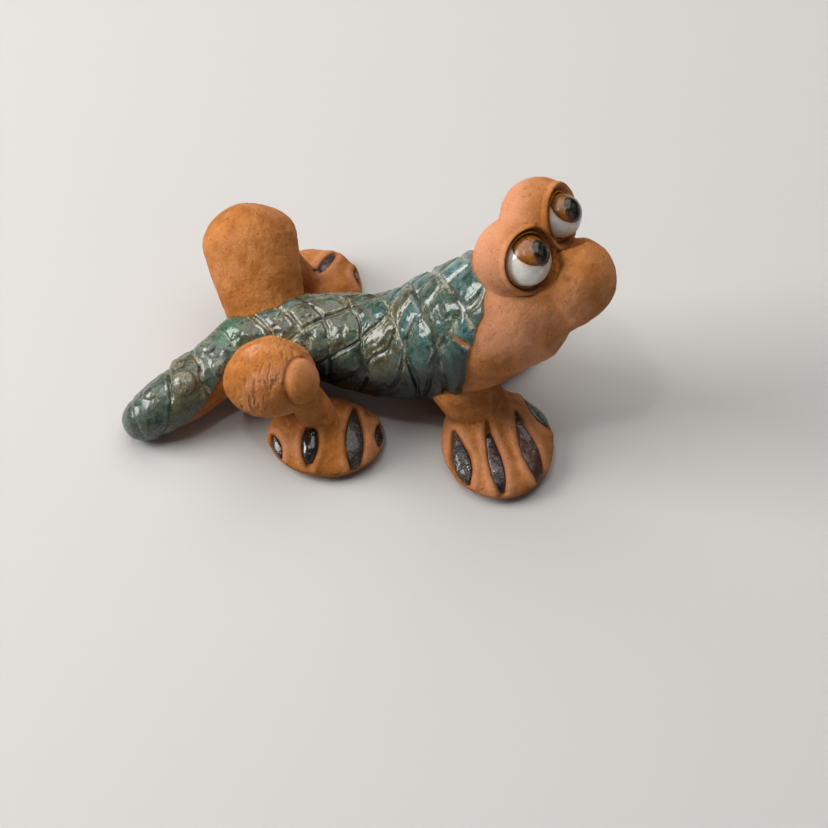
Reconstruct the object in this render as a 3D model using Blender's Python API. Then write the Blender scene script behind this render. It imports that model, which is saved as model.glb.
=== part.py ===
"""A small hand-modelled clay creature: a frog's head and legs on a carrot-shaped body with a tail.

Every length below is in millimetres and becomes metres when a mesh is made. The creature faces +X,
its left side is +Y and its soles stand on z = 0.
"""
from math import cos, pi, radians, sin, sqrt

import bmesh
import bpy
import numpy as np
from mathutils import Vector

MM = 0.001

# Driving dimensions
TAIL_LENGTH = 16.6
TRUNK_LENGTH = 19.5
NECK_LENGTH = 11.3
HEAD_LENGTH = 9.2
TAIL_TIP_RADIUS = 1.0
TAIL_RADIUS = 3.15
HIP_RADIUS = 4.0
WAIST_RADIUS = 5.5
NECK_RADIUS = 7.0
SNOUT_RADIUS = 4.5
CHEST_FULLNESS = 0.15  # how much fatter the chest is than midway from waist to neck
BROW_FULLNESS = 0.6  # how much fatter the brow is than midway from neck to snout
HEAD_FLATNESS = 0.11  # how much wider than round the head is, and how much lower
TAIL_TIP_HEIGHT = 1.7

GLAZE_THICKNESS = 0.4
SEAM = 0.2  # the gap between pieces that are pressed or fused together

MOUND_RADIUS = 4.05
MOUND_SPACING = 5.1
MOUND_STATION = 10.42  # where along the body the middle of the two mounds is
MOUND_LIFT = 0.9  # how far it is above the head's surface
MOUND_SHIFT = 1.1  # how far it is to the left of the head's middle
MOUND_PAIR_HEADING = 57
MOUND_PAIR_PITCH = 17
EYEBALL_RADIUS = 2.85
EYEBALL_REACH = 1.9
IRIS_ANGLE = 44
PUPIL_RADIUS = 0.95
PUPIL_HEIGHT = 0.35
PUPIL_EDGE = 0.06

KNEE_RADIUS = 4.15
KNEE_LENGTH = 5.1
THIGH_ROOT_WIDTH = 3.9
THIGH_ROOT_RADIUS = 3.3
SHIN_RADIUS = 2.3
SHIN_FORWARD = 3.2  # how far in front of the knee's middle the shin's top is
SHIN_DROP = 1.2
FRONT_LEG_RADIUS = 3.7
LEG_FLATNESS = 0.92  # the height of a shin or front leg, as a share of its width
FRONT_LEG_FORWARD = 0.7
FRONT_LEG_HEIGHT = 2.5  # from the chest's underside to the leg's top

HIND_PAD_WIDTH = 12.2
HIND_PAD_LENGTH = 10.2
FRONT_PAD_WIDTH = 12.2
FRONT_PAD_LENGTH = 13.7
PAD_THICKNESS = 3.3
PAD_RIM_HEIGHT = 1.2  # where the pad is widest
ANKLE_DEPTH = 1.2  # how far below the pad's top a leg's roll ends

BEAD_HEIGHT = 0.55
BODY_SIDES = 22

# Where the legs leave the body, and the way each pair faces
HIP_STATION = 4.25
HIP_HEADING = 6
CHEST_STATION = 7.8
CHEST_HEADING = -12

# How the body bends: for each run, the share of its length, then heading and pitch in degrees
TAIL_BENDS = [(0.155, 21, 20), (0.25, 31, 13), (0.255, 36, 10), (0.34, 34, 11)]
TRUNK_BENDS = [(0.36, 0, 8), (0.37, -11, 5), (0.27, -5, 21)]
NECK_BENDS = [(0.5, -10, 39), (0.5, -7, 47)]
HEAD_BENDS = [(0.52, 0, 45), (0.48, -17, 36)]
BODY_RADII = [
    TAIL_TIP_RADIUS,
    TAIL_RADIUS * 0.77,
    TAIL_RADIUS * 0.98,
    TAIL_RADIUS,
    HIP_RADIUS,
    (HIP_RADIUS + WAIST_RADIUS) / 2,
    WAIST_RADIUS,
    (WAIST_RADIUS + NECK_RADIUS) / 2 + CHEST_FULLNESS,
    NECK_RADIUS,
    NECK_RADIUS * 0.97,
    (NECK_RADIUS + SNOUT_RADIUS) / 2 + BROW_FULLNESS,
    SNOUT_RADIUS,
]
# How much of the head's flattening each bend has
FLATTENING = [0, 0, 0, 0, 0, 0, 0, 0, 0.3, 0.6, 0.6, 0.2]

# The glaze on the back: the station of its front edge, from the middle to the sides, and how far
# round the body it reaches, in degrees from the top, by station
GLAZE_FRONT = ([0, 0.27, 0.5, 0.76, 1], [9.3, 9.3, 9.05, 8.4, 7.75])
GLAZE_REACH = ([0, 1, 3, 4.5, 6, 7.5], [60, 62, 62, 75, 104, 112])

CLAY = ((0.52, 0.22, 0.085), 0.85)
GLAZE = ((0.05, 0.11, 0.10), 0.15)
WHITE = ((0.75, 0.72, 0.68), 0.2)
AMBER = ((0.33, 0.13, 0.02), 0.15)
DARK = ((0.015, 0.012, 0.012), 0.12)


def clear_scene():
    for obj in list(bpy.data.objects):
        bpy.data.objects.remove(obj, do_unlink=True)


def material(name, colour_and_roughness):
    colour, roughness = colour_and_roughness
    found = bpy.data.materials.new(name)
    found.use_nodes = True
    shader = found.node_tree.nodes["Principled BSDF"]
    shader.inputs["Base Color"].default_value = (*colour, 1)
    shader.inputs["Roughness"].default_value = roughness
    shader.inputs["Metallic"].default_value = 0
    found.diffuse_color = (*colour, 1)
    return found


# Curves


def heading_vector(heading, pitch):
    h, p = radians(heading), radians(pitch)
    return np.array([cos(p) * cos(h), cos(p) * sin(h), sin(p)])


def unit(vector):
    vector = np.asarray(vector, float)
    return vector / np.linalg.norm(vector)


def smooth_rows(rows, count):
    """Samples a Catmull-Rom curve through the rows, whose columns may be places and radii."""
    rows = np.asarray(rows, float)
    padded = np.vstack([2 * rows[0] - rows[1], rows, 2 * rows[-1] - rows[-2]])
    spots = np.linspace(0, len(rows) - 1, count)
    first = np.minimum(spots.astype(int), len(rows) - 2)
    t = (spots - first)[:, None]
    a, b, c, d = (padded[first + k] for k in range(4))
    return 0.5 * (2 * b + (c - a) * t + (2 * a - 5 * b + 4 * c - d) * t**2 + (3 * b - a - 3 * c + d) * t**3)


def body_stations():
    """The centre, half width and half height of the body at each bend, from the tail's tip on."""
    runs = [
        (TAIL_LENGTH, TAIL_BENDS),
        (TRUNK_LENGTH, TRUNK_BENDS),
        (NECK_LENGTH, NECK_BENDS),
        (HEAD_LENGTH, HEAD_BENDS),
    ]
    points = [np.array([0.0, 0.0, TAIL_TIP_HEIGHT])]
    for length, bends in runs:
        for share, heading, pitch in bends:
            points.append(points[-1] + share * length * heading_vector(heading, pitch))
    radii, flat = np.array(BODY_RADII), np.array(FLATTENING) * HEAD_FLATNESS
    return np.column_stack([points, radii * (1 + flat), radii * (1 - flat)])


BODY = body_stations()


def body_at(station):
    """Centre, half width, half height and forward direction at a station between two bends."""
    fine = smooth_rows(BODY, 60 * (len(BODY) - 1) + 1)
    spot = min(int(round(station * 60)), len(fine) - 2)
    return fine[spot, :3], fine[spot, 3], fine[spot, 4], unit(fine[spot + 1, :3] - fine[spot, :3])


def level_frame(station, heading):
    """Centre and half width of the body, with level forward and left directions."""
    centre, radius, _, _ = body_at(station)
    forward = heading_vector(heading, 0)
    left = np.array([-forward[1], forward[0], 0.0])
    return centre, radius, forward, left


# Meshes


def new_object(name, points, faces, paint, helper=False):
    mesh = bpy.data.meshes.new(name)
    mesh.from_pydata([Vector(p) * MM for p in points], [], [list(map(int, f)) for f in faces])
    work = bmesh.new()
    work.from_mesh(mesh)
    bmesh.ops.recalc_face_normals(work, faces=work.faces)
    work.to_mesh(mesh)
    work.free()
    mesh.shade_smooth()
    obj = bpy.data.objects.new(name, mesh)
    bpy.context.scene.collection.objects.link(obj)
    if paint:
        mesh.materials.append(paint)
    if helper:
        obj.hide_render = True
        obj.display_type = "WIRE"
    return obj


def tube_faces(rings, sides):
    """Quads between neighbouring rings, and a fan onto the first and the last point."""
    faces = [(0, 1 + (k + 1) % sides, 1 + k) for k in range(sides)]
    for ring in range(rings - 1):
        low, high = 1 + ring * sides, 1 + (ring + 1) * sides
        faces += [(low + k, low + (k + 1) % sides, high + (k + 1) % sides, high + k) for k in range(sides)]
    last = 1 + rings * sides
    faces += [(last, last - sides + k, last - sides + (k + 1) % sides) for k in range(sides)]
    return faces


def roll_points(centres, widths, heights, sides, caps=3):
    """Rings of a roll of clay along its centres, with a rounded cap of `caps` rings at each end."""
    centres, widths, heights = (np.asarray(a, float) for a in (centres, widths, heights))
    ahead = np.gradient(centres, axis=0)
    ahead /= np.linalg.norm(ahead, axis=1)[:, None]
    angles = np.arange(1, caps + 1) * (pi / 2) / (caps + 1)
    start = [(centres[0], ahead[0], widths[0], heights[0], -a) for a in angles[::-1]]
    middle = [(c, t, w, h, 0.0) for c, t, w, h in zip(centres, ahead, widths, heights)]
    end = [(centres[-1], ahead[-1], widths[-1], heights[-1], a) for a in angles]
    around = np.arange(sides) * 2 * pi / sides
    rings = []
    for centre, along, width, height, lean in start + middle + end:
        side = unit(np.cross((0, 0, 1), along)) if abs(along[2]) < 0.97 else unit(np.cross((1, 0, 0), along))
        up = np.cross(along, side)
        reach = min(width, height) * sin(lean)
        ring = centre + along * reach
        ring = ring + np.outer(np.cos(around), side) * width * cos(lean)
        rings.append(ring + np.outer(np.sin(around), up) * height * cos(lean))
    first = centres[0] - ahead[0] * min(widths[0], heights[0])
    final = centres[-1] + ahead[-1] * min(widths[-1], heights[-1])
    return np.vstack([[first], *rings, [final]]), len(rings)


def roll(name, paint, centres, widths, heights, sides=16, grow=0.0, floor=None, helper=False):
    """A closed roll. grow swells it all round, and floor flattens what would lie below that height."""
    points, rings = roll_points(centres, np.asarray(widths) + grow, np.asarray(heights) + grow, sides)
    if floor is not None:
        points[:, 2] = np.maximum(points[:, 2], floor)
    return new_object(name, points, tube_faces(rings, sides), paint, helper)


def turned(name, paint, centre, axis, profile, sides=18, helper=False):
    """A profile of (radius, height) points, from one pole to the other, turned about an axis."""
    axis = unit(axis)
    side = unit(np.cross(axis, (0, 0, 1) if abs(axis[2]) < 0.9 else (1, 0, 0)))
    other = np.cross(axis, side)
    around = np.arange(sides) * 2 * pi / sides
    circle = np.outer(np.cos(around), side) + np.outer(np.sin(around), other)
    inner = profile[1:-1]
    rings = [centre + axis * height + circle * radius for radius, height in inner]
    poles = [centre + axis * profile[0][1], centre + axis * profile[-1][1]]
    points = np.vstack([[poles[0]], *rings, [poles[1]]])
    return new_object(name, points, tube_faces(len(inner), sides), paint, helper)


def arc(radius, low, high, steps):
    """(radius, height) points on a circle, by the angle from the axis in degrees."""
    return [(radius * sin(a), radius * cos(a)) for a in np.radians(np.linspace(low, high, steps))]


def cut(piece, cutter):
    modifier = piece.modifiers.new("cut by " + cutter.name, "BOOLEAN")
    modifier.operation = "DIFFERENCE"
    modifier.solver = "EXACT"
    modifier.object = cutter


def join(piece, other):
    modifier = piece.modifiers.new("join " + other.name, "BOOLEAN")
    modifier.operation = "UNION"
    modifier.solver = "EXACT"
    modifier.object = other


# Pieces


def body_roll(name, paint, grow=0.0, helper=False):
    fine = smooth_rows(BODY, 34)
    return roll(name, paint, fine[:, :3], fine[:, 3], fine[:, 4], BODY_SIDES, grow, None, helper)


def back_glaze(paint):
    """A curved strip over the back: an outer and an inner sheet, joined along their edges.

    It starts at the tail's tip, reaches furthest down round the chest, and its front edge slants
    forward towards the top of the neck.
    """
    count, across = 30, 15
    share = np.linspace(-1, 1, across)
    front = np.interp(np.abs(share), *GLAZE_FRONT)
    sheets = []
    for lift in (SEAM + GLAZE_THICKNESS, SEAM):
        rows = []
        for part in np.linspace(0, 1, count):
            row = []
            for k in range(across):
                station = part * front[k]
                degrees = np.interp(station, *GLAZE_REACH)
                centre, width, height, along = body_at(station)
                side = unit(np.cross((0, 0, 1), along))
                up = np.cross(along, side)
                turn = radians(share[k] * degrees)
                row.append(centre + (width + lift) * sin(turn) * side + (height + lift) * cos(turn) * up)
            rows.append(row)
        sheets.append(np.array(rows))
    points = np.concatenate([sheet.reshape(-1, 3) for sheet in sheets])
    size = count * across
    faces = []
    for row in range(count - 1):
        for k in range(across - 1):
            a = row * across + k
            faces.append((a, a + 1, a + across + 1, a + across))
            faces.append((size + a, size + a + across, size + a + across + 1, size + a + 1))
    rim = list(range(across))
    rim += [row * across + across - 1 for row in range(1, count)]
    rim += [(count - 1) * across + k for k in range(across - 2, -1, -1)]
    rim += [row * across for row in range(count - 2, 0, -1)]
    faces += [(a, size + a, size + b, b) for a, b in zip(rim, rim[1:] + rim[:1])]
    return new_object("back_glaze", points, faces, paint)


def eye_places():
    """The middle of each eye mound: side by side on top of the head, the left one a little higher."""
    centre, _, height, along = body_at(MOUND_STATION)
    left = unit(np.cross((0, 0, 1), along))
    up = np.cross(along, left)
    middle = centre + up * (height + MOUND_LIFT) + left * MOUND_SHIFT
    side = heading_vector(MOUND_PAIR_HEADING, MOUND_PAIR_PITCH)
    return middle - side * MOUND_SPACING / 2, middle + side * MOUND_SPACING / 2


def eye(side_name, mound_centre, gaze, iris_axis, pupil_axis, paints, body_seam):
    """An eye mound with its eyeball, iris and pupil. Returns the mound and the eyeball."""
    ball_centre = mound_centre + unit(gaze) * EYEBALL_REACH
    mound_arc = arc(MOUND_RADIUS, 180, 0, 13)
    mound = turned(side_name + "_eye_mound", paints["clay"], mound_centre, gaze, mound_arc)
    socket_arc = arc(EYEBALL_RADIUS + SEAM, 180, 0, 11)
    cut(mound, turned(side_name + "_socket_cutter", None, ball_centre, gaze, socket_arc, 20, True))
    seat = EYEBALL_RADIUS * cos(radians(IRIS_ANGLE))
    rim = sqrt(EYEBALL_RADIUS**2 - (seat - SEAM) ** 2)
    ball_arc = arc(EYEBALL_RADIUS, 180, np.degrees(np.arctan2(rim, seat - SEAM)), 9)
    ball_arc.append((0, seat - SEAM))
    ball = turned(side_name + "_eyeball", paints["white"], ball_centre, iris_axis, ball_arc)
    cut(ball, body_seam)
    iris_arc = [(0, seat)] + arc(EYEBALL_RADIUS, IRIS_ANGLE, 0, 6)
    turned(side_name + "_iris", paints["amber"], ball_centre, iris_axis, iris_arc)
    spread = np.degrees(np.arcsin(PUPIL_RADIUS / (EYEBALL_RADIUS + SEAM)))
    under = arc(EYEBALL_RADIUS + SEAM, 0, spread, 3)
    over = [(r, h + PUPIL_HEIGHT * (1 - (r / PUPIL_RADIUS) ** 2) + PUPIL_EDGE) for r, h in under[::-1]]
    turned(side_name + "_pupil", paints["dark"], ball_centre, pupil_axis, under + over, 12)
    return mound, ball


def thigh(name, paint, root, knee, size, grow=0.0, helper=False):
    """A fat egg of clay from the hip to the round knee, wider along the body than across it."""
    rows = smooth_rows([root, (root + knee) / 2, knee], 7)
    share = np.linspace(0, 1, len(rows))
    widths = THIGH_ROOT_WIDTH + (KNEE_LENGTH * size - THIGH_ROOT_WIDTH) * np.sqrt(share)
    heights = THIGH_ROOT_RADIUS + (KNEE_RADIUS * size - THIGH_ROOT_RADIUS) * np.sqrt(share)
    return roll(name, paint, rows, widths, heights, 16, grow, None, helper)


def pad_height(share):
    """How high the top of a pad is, at a share of the way from its middle to its rim."""
    return PAD_RIM_HEIGHT + (PAD_THICKNESS - PAD_RIM_HEIGHT) * sqrt(1 - min(share, 1) ** 2.4)


class Pad:
    """The place of one paddle foot: ahead points to the toes, and across to the creature's front."""

    def __init__(self, centre, forward, out, turn, width, length):
        self.ahead = out * cos(radians(turn)) + forward * sin(radians(turn))
        self.across = forward * cos(radians(turn)) - out * sin(radians(turn))
        self.centre = np.array([centre[0], centre[1], 0.0])
        self.width = width / 2
        self.length = length / 2

    def place(self, across, ahead, height=0.0):
        """A point at shares of the half width and half length, from the pad's middle."""
        spot = self.centre + self.across * across * self.width + self.ahead * ahead * self.length
        return spot + np.array([0, 0, height])

    def on_top(self, across, ahead):
        return self.place(across, ahead, pad_height(sqrt(across**2 + ahead**2)))


def paddle(name, paint, pad):
    """A thick pad with a flat sole and a domed top."""
    shares = [(0.86, 0), (0.97, 0.45 * PAD_RIM_HEIGHT), (1, PAD_RIM_HEIGHT)]
    shares += [(s, pad_height(s)) for s in (0.985, 0.93, 0.82, 0.62, 0.34)]
    sides = 28
    around = np.arange(sides) * 2 * pi / sides
    points = [pad.place(0, 0)]
    for share, height in shares:
        points += [pad.place(share * cos(a), share * sin(a), height) for a in around]
    points.append(pad.place(0, 0, PAD_THICKNESS))
    return new_object(name, points, tube_faces(len(shares), sides), paint)


def foot(name, paint, pad, joint, ankle, radius, skin):
    """A paddle with the leg's roll standing on it. The glaze stops round the roll."""
    piece = paddle(name, paint, pad)
    path = smooth_rows([joint, (joint + ankle) / 2, ankle], 5)
    widths, heights = [radius] * len(path), [radius * LEG_FLATNESS] * len(path)
    join(piece, roll(name + "_leg_roll", None, path, widths, heights, 14, 0, PAD_RIM_HEIGHT, True))
    cut(skin, roll(name + "_leg_cutter", None, path, widths, heights, 14, SEAM, PAD_RIM_HEIGHT, True))
    return piece


def toe_beads(name, paint, pad, piece, beads):
    """Beads of glaze half sunk into grooves. Each runs between two places on the pad's top."""
    for number, (start, end, width) in enumerate(beads, 1):
        shares = np.linspace(start, end, 11)[1:-1:2]
        spots = [pad.on_top(*share) for share in shares]
        swell = BEAD_SWELL * width / 2
        lift = BEAD_SWELL * BEAD_HEIGHT
        bead = f"{name}_{number}"
        roll(bead, paint, spots, swell, lift, 8)
        cut(piece, roll(bead + "_groove_cutter", None, spots, swell, lift, 8, SEAM, None, True))


BEAD_SWELL = np.array([0.5, 0.9, 1.0, 0.9, 0.5])

# Where each bead starts and ends, in shares of the pad's half width and half length, and its width
HIND_BEADS = [
    ((-0.90, 0.22), (-0.76, 0.60), 1.4),
    ((-0.30, -0.02), (-0.31, 0.78), 1.6),
    ((0.46, -0.45), (0.54, 0.74), 1.9),
    ((0.93, -0.30), (0.95, 0.16), 1.3),
]
FRONT_BEADS = [
    ((-0.75, -0.06), (-0.60, 0.72), 1.9),
    ((-0.17, -0.06), (-0.02, 0.91), 1.5),
    ((0.36, -0.26), (0.67, 0.68), 1.7),
    ((0.53, -0.80), (0.92, -0.30), 1.5),
]


def build_eyes(paints, body_seam, skin):
    gazes = {"right": (0.6, -0.6, 0.53), "left": (0.87, -0.3, 0.4)}
    iris_axes = {"right": (0.34, -0.07, 0.92), "left": (0.5, -0.2, 0.84)}
    pupil_axes = {"right": (0.52, -0.13, 0.85), "left": (0.54, -0.24, 0.81)}
    places = dict(zip(("right", "left"), eye_places()))
    eyes = {
        side: eye(side, places[side], gazes[side], iris_axes[side], pupil_axes[side], paints, body_seam)
        for side in places
    }
    swollen = arc(MOUND_RADIUS + SEAM, 180, 0, 13)
    seams = {
        side: turned(side + "_mound_cutter", None, places[side], gazes[side], swollen, 18, True)
        for side in places
    }
    for side, (mound, _) in eyes.items():
        cut(mound, body_seam)
        cut(skin, seams[side])
    for piece in eyes["left"]:
        cut(piece, seams["right"])


def build_leg(leg, paints, body_seam, skin):
    """A hind leg: the thigh stands on the hip, and the foot's shin is pressed to the knee."""
    hip, radius, forward, left = level_frame(HIP_STATION, HIP_HEADING)
    out = left * leg["sign"]
    lift = np.array([0, 0, 1.0])
    root = hip + out * (radius + leg["hip_out"]) + lift * leg["hip_up"]
    knee = hip - forward * leg["knee_back"] + out * (radius + leg["knee_out"]) + lift * leg["knee_up"]
    name = leg["side"] + "_thigh"
    upper = thigh(name, paints["clay"], root, knee, leg["knee_size"])
    cut(upper, body_seam)
    thigh_seam = thigh(name + "_cutter", None, root, knee, leg["knee_size"], SEAM, True)
    cut(skin, thigh_seam)

    middle = hip + forward * leg["foot_forward"] + out * (radius + leg["foot_out"])
    pad = Pad(middle, forward, out, leg["foot_turn"], HIND_PAD_WIDTH, HIND_PAD_LENGTH)
    joint = knee + forward * SHIN_FORWARD - lift * SHIN_DROP
    ankle = pad.on_top(0, -0.1) - lift * ANKLE_DEPTH
    name = leg["side"] + "_hind_foot"
    lower = foot(name, paints["clay"], pad, joint, ankle, SHIN_RADIUS, skin)
    cut(lower, thigh_seam)
    cut(lower, body_seam)
    toe_beads(leg["side"] + "_hind_toe_bead", paints["dark"], pad, lower, HIND_BEADS)


def build_front_leg(leg, paints, body_seam, skin):
    """A front leg: a short stub from under the chest to a paddle foot."""
    chest, radius, forward, left = level_frame(CHEST_STATION, CHEST_HEADING)
    out = left * leg["sign"]
    lift = np.array([0, 0, 1.0])
    middle = chest + forward * leg["front_forward"] + out * leg["front_out"]
    pad = Pad(middle, forward, out, leg["front_turn"], FRONT_PAD_WIDTH, FRONT_PAD_LENGTH)
    joint = chest + forward * FRONT_LEG_FORWARD + out * (FRONT_LEG_RADIUS + SEAM)
    joint -= lift * (radius - FRONT_LEG_HEIGHT)
    ankle = pad.on_top(leg["ankle"], -0.5) - lift * ANKLE_DEPTH
    name = leg["side"] + "_front_leg"
    lower = foot(name, paints["clay"], pad, joint, ankle, FRONT_LEG_RADIUS, skin)
    cut(lower, body_seam)
    toe_beads(leg["side"] + "_front_toe_bead", paints["dark"], pad, lower, FRONT_BEADS)


RIGHT = {
    "side": "right", "sign": -1, "hip_out": -1.2, "hip_up": -0.9,
    "knee_back": 0.6, "knee_out": 4.1, "knee_up": 4.3, "knee_size": 1.0,
    "foot_forward": 4.7, "foot_out": 6.2, "foot_turn": -10,
    "front_forward": 5.6, "front_out": 7.2, "front_turn": 16, "ankle": -0.15,
}
LEFT = {
    "side": "left", "sign": 1, "hip_out": -1.6, "hip_up": 1.0,
    "knee_back": 1.2, "knee_out": 5.3, "knee_up": 5.5, "knee_size": 1.06,
    "foot_forward": 4.7, "foot_out": 5.2, "foot_turn": 4,
    "front_forward": 1.8, "front_out": 8.4, "front_turn": 10, "ankle": 0.0,
}


def stand_on_origin():
    """Moves everything so that the middle of the figure's footprint is the origin."""
    parts = [obj for obj in bpy.data.objects if not obj.hide_render]
    graph = bpy.context.evaluated_depsgraph_get()
    corners = []
    for part in parts:
        mesh = part.evaluated_get(graph).to_mesh()
        points = np.empty(len(mesh.vertices) * 3)
        mesh.vertices.foreach_get("co", points)
        corners.append(points.reshape(-1, 3))
    corners = np.vstack(corners)
    low, high = corners.min(axis=0), corners.max(axis=0)
    shift = Vector((-(low[0] + high[0]) / 2, -(low[1] + high[1]) / 2, -low[2]))
    print("moved by", [round(value / MM, 3) for value in shift], "mm")
    for obj in bpy.data.objects:
        obj.location = shift


def build():
    clear_scene()
    paints = {
        "clay": material("terracotta", CLAY),
        "teal": material("teal_glaze", GLAZE),
        "white": material("white_glaze", WHITE),
        "amber": material("amber_glaze", AMBER),
        "dark": material("dark_glaze", DARK),
    }
    body_roll("body_roll", paints["clay"])
    body_seam = body_roll("body_seam_cutter", None, SEAM, True)
    skin = back_glaze(paints["teal"])
    build_eyes(paints, body_seam, skin)
    for leg in (RIGHT, LEFT):
        build_leg(leg, paints, body_seam, skin)
        build_front_leg(leg, paints, body_seam, skin)
    stand_on_origin()


build()
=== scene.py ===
from math import pi, radians

import bpy
import numpy as np
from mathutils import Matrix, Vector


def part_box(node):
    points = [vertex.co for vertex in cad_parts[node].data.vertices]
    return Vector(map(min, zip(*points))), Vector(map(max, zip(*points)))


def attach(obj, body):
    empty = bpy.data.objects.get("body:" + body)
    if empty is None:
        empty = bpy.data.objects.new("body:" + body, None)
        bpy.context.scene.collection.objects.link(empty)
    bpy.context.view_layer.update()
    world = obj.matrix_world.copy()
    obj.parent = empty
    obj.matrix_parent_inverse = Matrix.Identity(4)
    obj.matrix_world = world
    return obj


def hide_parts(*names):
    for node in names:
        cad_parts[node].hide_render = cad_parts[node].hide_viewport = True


# A small hand-modelled clay creature with a glazed, carved back.
# Shapes are worked out in millimetres with the tail's tip over the origin, then put where the frame says.
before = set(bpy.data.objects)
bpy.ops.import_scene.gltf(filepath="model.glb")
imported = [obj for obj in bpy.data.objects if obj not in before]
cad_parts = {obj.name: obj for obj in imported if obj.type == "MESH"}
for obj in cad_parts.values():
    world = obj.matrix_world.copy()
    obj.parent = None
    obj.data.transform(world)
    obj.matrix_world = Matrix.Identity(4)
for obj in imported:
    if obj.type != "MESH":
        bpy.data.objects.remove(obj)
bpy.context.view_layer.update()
mm = 0.001


# working with arrays of points


def unit(vectors):
    return vectors / np.maximum(np.linalg.norm(vectors, axis=-1, keepdims=True), 1e-12)


def headingVector(turn, climb):
    # the direction at a compass turn and a climb, both in degrees
    turn, climb = radians(turn), radians(climb)
    return np.array([np.cos(climb) * np.cos(turn), np.cos(climb) * np.sin(turn), np.sin(climb)])


def smoothStep(low, high, values):
    # 0 below low, 1 above high, and 3t^2 - 2t^3 between
    t = np.clip((values - low) / (high - low), 0, 1)
    return t * t * (3 - 2 * t)


def hump(distance, width):
    # a bell: e to the minus (distance / width) squared
    return np.exp(-((distance / width) ** 2))


def latticeValue(cells, seed):
    # a repeatable value from -1 to 1 for each whole-number cell, by mixing its bits
    x, y, z = (cells[..., k].astype(np.int64) for k in range(3))
    mixed = (x * 73856093 ^ y * 19349663 ^ z * 83492791 ^ seed * 2654435761) & 0xFFFFFFFF
    mixed = ((mixed ^ (mixed >> 15)) * 2246822519) & 0xFFFFFFFF
    mixed = ((mixed ^ (mixed >> 13)) * 3266489917) & 0xFFFFFFFF
    return ((mixed ^ (mixed >> 16)) & 0xFFFFFF) / 8388607.5 - 1


# a turn by 34 degrees about a slanting line, so that no layer of noise lines up with another
slant = np.array([[0.844, -0.350, 0.407], [0.407, 0.911, -0.061], [-0.350, 0.218, 0.911]])


def lumps(points, size, seed, octaves=1):
    # smooth noise from -1 to 1: cell values blended by the smooth step, plus finer and weaker layers
    total, weight = 0.0, 1.0
    spots = points / size
    for octave in range(octaves):
        spots = (spots * 2 if octave else spots) @ slant + 17.3
        cells = np.floor(spots)
        t = spots - cells
        t = t * t * (3 - 2 * t)
        layer = 0.0
        for corner in np.ndindex(2, 2, 2):
            share = np.prod(np.where(np.array(corner) == 1, t, 1 - t), axis=-1)
            layer = layer + share * latticeValue(cells + corner, seed + octave)
        total = total + weight * layer
        weight *= 0.5
    return total


def curveThrough(rows, spots):
    # a Catmull-Rom curve through the rows, read at spots from 0 to the last row
    rows = np.asarray(rows, float)
    padded = np.vstack([2 * rows[0] - rows[1], rows, 2 * rows[-1] - rows[-2]])
    spots = np.clip(spots, 0, len(rows) - 1)
    first = np.minimum(np.floor(spots).astype(int), len(rows) - 2)
    t = (spots - first)[..., None]
    a, b, c, d = (padded[first + k] for k in range(4))
    return 0.5 * (2 * b + (c - a) * t + (2 * a - 5 * b + 4 * c - d) * t**2 + (3 * b - a - 3 * c + d) * t**3)


def rollFrame(rows, stations):
    # A roll of clay has rows of centre, half width and half height. A station up to 1 past either end
    # is on its round cap, where the ring shrinks by the cosine as it moves out by the sine.
    last = len(rows) - 1
    spots = np.clip(stations, 0, last)
    here = curveThrough(rows, spots)
    before, after = (curveThrough(rows, np.clip(spots + step, 0, last)) for step in (-0.02, 0.02))
    along = unit((after - before)[..., :3])
    side = unit(np.cross((0.0, 0.0, 1.0), along))
    up = np.cross(along, side)
    lean = np.clip(stations - spots, -1, 1) * pi / 2
    width, height = here[..., 3], here[..., 4]
    reach = np.minimum(width, height) * np.sin(lean)
    centre = here[..., :3] + along * reach[..., None]
    return centre, width * np.cos(lean), height * np.cos(lean), side, up, along, lean


def rollSkin(rows, stations, angles):
    # the point at each station and angle from the top, and the direction that faces out there
    centre, width, height, side, up, along, lean = rollFrame(rows, stations)
    across, above = np.sin(angles)[..., None], np.cos(angles)[..., None]
    points = centre + width[..., None] * across * side + height[..., None] * above * up
    outward = unit((across * side + above * up) * np.cos(lean)[..., None] + along * np.sin(lean)[..., None])
    return points, outward


def rollGrid(rows, count, sides):
    # stations and angles of a closed roll, spaced evenly along its skin and bunched towards its poles
    fine = np.linspace(-1, len(rows), 2000)
    points, _ = rollSkin(rows, fine, np.zeros(2000))
    walked = np.concatenate([[0], np.cumsum(np.linalg.norm(np.diff(points, axis=0), axis=1))])
    stations = np.interp(np.linspace(0, walked[-1], count + 2)[1:-1], walked, fine)
    return np.meshgrid(stations, np.arange(sides) * 2 * pi / sides, indexing="ij")


def ballGrid(count, sides):
    # angles from the first pole and round the axis of a ball
    return np.meshgrid(np.linspace(0, pi, count + 2)[1:-1], np.arange(sides) * 2 * pi / sides, indexing="ij")


def axesOn(axis, hint=(0.0, 0.0, 1.0)):
    # an axis, the part of the hint square to it, and the third direction
    axis = unit(np.asarray(axis, float))
    first = unit(np.asarray(hint) - np.dot(hint, axis) * axis)
    return axis, first, np.cross(axis, first)


# meshes


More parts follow.
